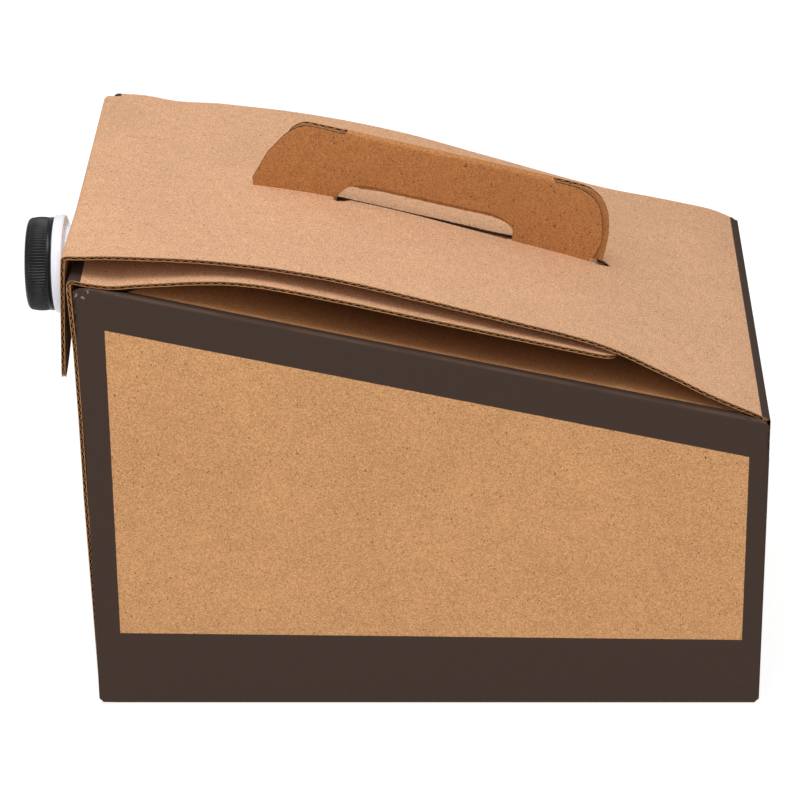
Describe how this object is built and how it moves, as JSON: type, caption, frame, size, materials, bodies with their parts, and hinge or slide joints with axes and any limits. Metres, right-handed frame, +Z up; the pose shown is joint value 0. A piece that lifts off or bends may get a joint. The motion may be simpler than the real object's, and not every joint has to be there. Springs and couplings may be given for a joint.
{
  "type": "coffee carrier box",
  "caption": "Folded corrugated carrier carton with a sloping hinged lid, pop-up handle, inner drink bag, threaded spout and ribbed screw cap.",
  "frame": {"origin": "centre of the carton's underside", "axes": "+X from the spout end to the lid's hinge, +Z up, the long sides face +Y and -Y"},
  "size_m": [0.3004, 0.195, 0.2184],
  "materials": {
    "kraft_board": "uncoated kraft with matt dark brown print",
    "lid_board": "uncoated kraft",
    "bag_film": "satin film",
    "white_plastic": "translucent natural polyethylene",
    "black_plastic": "satin moulded",
    "liner_foam": "matt foam"
  },
  "bodies": {
    "carton": {"carton_body": "kraft_board", "inner_bag": "bag_film", "spout_neck": "white_plastic"},
    "lid": {"carton_lid": "lid_board"},
    "liner": {"cap_liner": "liner_foam"},
    "cap": {"screw_cap": "black_plastic"}
  },
  "joints": [
    {"name": "lid_hinge", "type": "hinge", "parent": "carton", "child": "lid", "pos_m": [0.1342, 0, 0.1292], "axis": [0, 1, 0], "range_deg": [0, 110]},
    {"name": "cap_travel", "type": "slide", "parent": "carton", "child": "liner", "axis": [-1, 0, 0], "range_m": [0, 0.0137]},
    {"name": "cap_turn", "type": "hinge", "parent": "liner", "child": "cap", "pos_m": [-0.16, 0, 0.1537], "axis": [-1, 0, 0], "range_deg": [0, 1170]}
  ],
  "couplings": [
    {"joint": "cap_travel", "follows": "cap_turn", "m_per_rad": 0.00066845}
  ]
}
